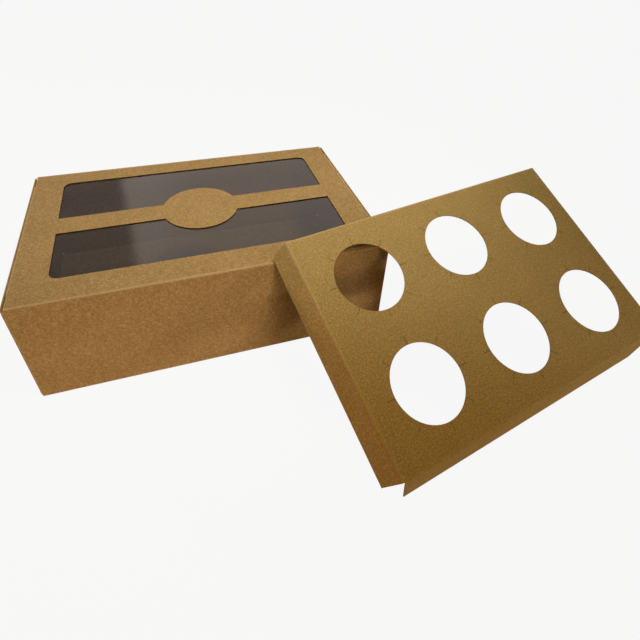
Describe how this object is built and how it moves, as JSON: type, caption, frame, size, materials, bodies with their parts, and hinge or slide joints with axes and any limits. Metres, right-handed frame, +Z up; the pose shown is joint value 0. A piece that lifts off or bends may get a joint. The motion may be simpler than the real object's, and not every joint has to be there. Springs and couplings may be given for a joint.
{
  "type": "cupcake box",
  "caption": "Flat kraft carton with a hinged lid, two film windows and a round label band, and a folded cup insert leaning on it.",
  "frame": {"origin": "middle of the box's base, on the table", "axes": "+X along the box's long side, -Y out of its front, +Z up"},
  "size_m": [0.4235, 0.2889, 0.0932],
  "materials": {
    "tray_board": "uncoated kraft board",
    "lid_board": "uncoated kraft board",
    "clear_film": "clear glossy film",
    "insert_board": "uncoated kraft board"
  },
  "bodies": {
    "box": {"tray": "tray_board"},
    "lid": {"lid": "lid_board", "window_film": "clear_film", "insert": "insert_board"}
  },
  "joints": [
    {"name": "lid_hinge", "type": "hinge", "parent": "box", "child": "lid", "pos_m": [0, 0.0772, 0.0782], "axis": [-1, 0, 0], "range_deg": [0, 180]}
  ]
}
